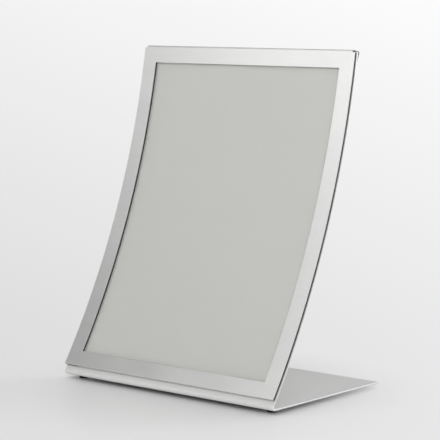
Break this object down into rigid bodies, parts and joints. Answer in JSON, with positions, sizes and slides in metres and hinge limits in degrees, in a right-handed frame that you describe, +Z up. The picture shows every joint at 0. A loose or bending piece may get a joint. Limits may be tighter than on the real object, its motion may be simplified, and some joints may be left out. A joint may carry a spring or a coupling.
{
  "type": "curved tabletop sign holder",
  "caption": "Tabletop sign holder: bent sheet stand with a leaning, concave back panel, and a thin magnetic frame hooked over its top that holds a letter sign behind a matte lens.",
  "frame": {"origin": "on the table, below the middle of the outline", "axes": "+X to the viewer's right, +Y back along the base, +Z up"},
  "size_m": [0.2316, 0.1434, 0.2865],
  "materials": {
    "stand_silver": "satin silver",
    "frame_silver": "fine brushed",
    "magnet_black": "matte",
    "lens_clear": "clear, matte front",
    "card_grey": "matte",
    "foot_black": "matte"
  },
  "bodies": {
    "stand": {"stand": "stand_silver", "foot_front_left": "foot_black", "foot_front_right": "foot_black", "foot_back_left": "foot_black", "foot_back_right": "foot_black"},
    "frame": {"front_frame": "frame_silver", "magnet_strip_left": "magnet_black", "magnet_strip_right": "magnet_black"},
    "lens": {"lens_sheet": "lens_clear"},
    "sign": {"insert_sheet": "card_grey"}
  },
  "joints": [
    {"name": "frame_swing", "type": "hinge", "parent": "stand", "child": "frame", "pos_m": [0, 0.03888, 0.28489], "axis": [-1, 0, 0], "range_deg": [0, 19]},
    {"name": "lens_slide", "type": "slide", "parent": "stand", "child": "lens", "axis": [1, 0, 0], "range_m": [-0.226, 0.226]},
    {"name": "insert_slide", "type": "slide", "parent": "stand", "child": "sign", "axis": [1, 0, 0], "range_m": [-0.226, 0.226]}
  ]
}
